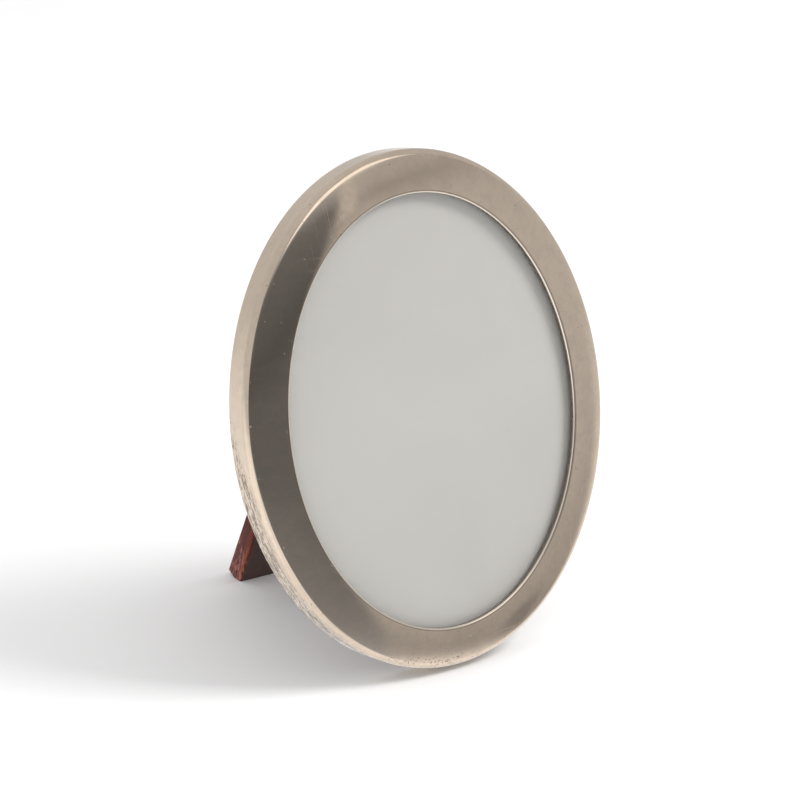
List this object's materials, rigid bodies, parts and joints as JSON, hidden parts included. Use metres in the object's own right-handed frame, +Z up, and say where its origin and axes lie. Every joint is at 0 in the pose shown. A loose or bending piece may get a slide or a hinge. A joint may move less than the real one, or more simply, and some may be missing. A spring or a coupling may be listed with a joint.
{
  "type": "table photo frame",
  "caption": "Oval glazed table photo frame in polished silver over wood, leaning back on a hinged wooden strut, with a loose back held by turn buttons.",
  "frame": {"origin": "on the table, in the middle of the space that the standing frame covers", "axes": "+Z up, the picture faces -Y and leans back 13 degrees, +X to the viewer's right"},
  "size_m": [0.15, 0.1212, 0.1873],
  "materials": {
    "polished_silver": "polished, worn",
    "silver_pins": "dull",
    "mahogany": "polished, scuffed",
    "core_wood": "waxed",
    "clear_glass": "polished",
    "pale_card": "matt",
    "backing_card": "matt",
    "aged_brass": "satin, aged"
  },
  "bodies": {
    "frame": {"silver_mount": "polished_silver", "frame_core": "core_wood", "glass_pane": "clear_glass", "picture_card": "pale_card", "backing_board": "backing_card", "back_panel": "mahogany", "hinge_leaf_back": "aged_brass", "hinge_pin": "aged_brass", "hinge_screws_back": "aged_brass", "turn_button_screws": "aged_brass", "mount_pins": "silver_pins"},
    "strut": {"strut": "mahogany", "hinge_leaf_strut": "aged_brass", "hinge_screws_strut": "aged_brass"},
    "turn_button_1": {"turn_button_1": "aged_brass"},
    "turn_button_2": {"turn_button_2": "aged_brass"},
    "turn_button_3": {"turn_button_3": "aged_brass"},
    "turn_button_4": {"turn_button_4": "aged_brass"}
  },
  "joints": [
    {"name": "strut_fold", "type": "hinge", "parent": "frame", "child": "strut", "pos_m": [0, -0.01433, 0.14514], "axis": [-1, 0, 0], "range_deg": [0, 37.2]},
    {"name": "turn_button_1_swivel", "type": "hinge", "parent": "frame", "child": "turn_button_1", "pos_m": [0.0601, -0.01662, 0.13612], "axis": [0, -0.9744, 0.225], "continuous": true},
    {"name": "turn_button_2_swivel", "type": "hinge", "parent": "frame", "child": "turn_button_2", "pos_m": [-0.0601, -0.01662, 0.13612], "axis": [0, -0.9744, 0.225], "continuous": true},
    {"name": "turn_button_3_swivel", "type": "hinge", "parent": "frame", "child": "turn_button_3", "pos_m": [-0.0601, -0.03673, 0.04901], "axis": [0, -0.9744, 0.225], "continuous": true},
    {"name": "turn_button_4_swivel", "type": "hinge", "parent": "frame", "child": "turn_button_4", "pos_m": [0.0601, -0.03673, 0.04901], "axis": [0, -0.9744, 0.225], "continuous": true}
  ]
}
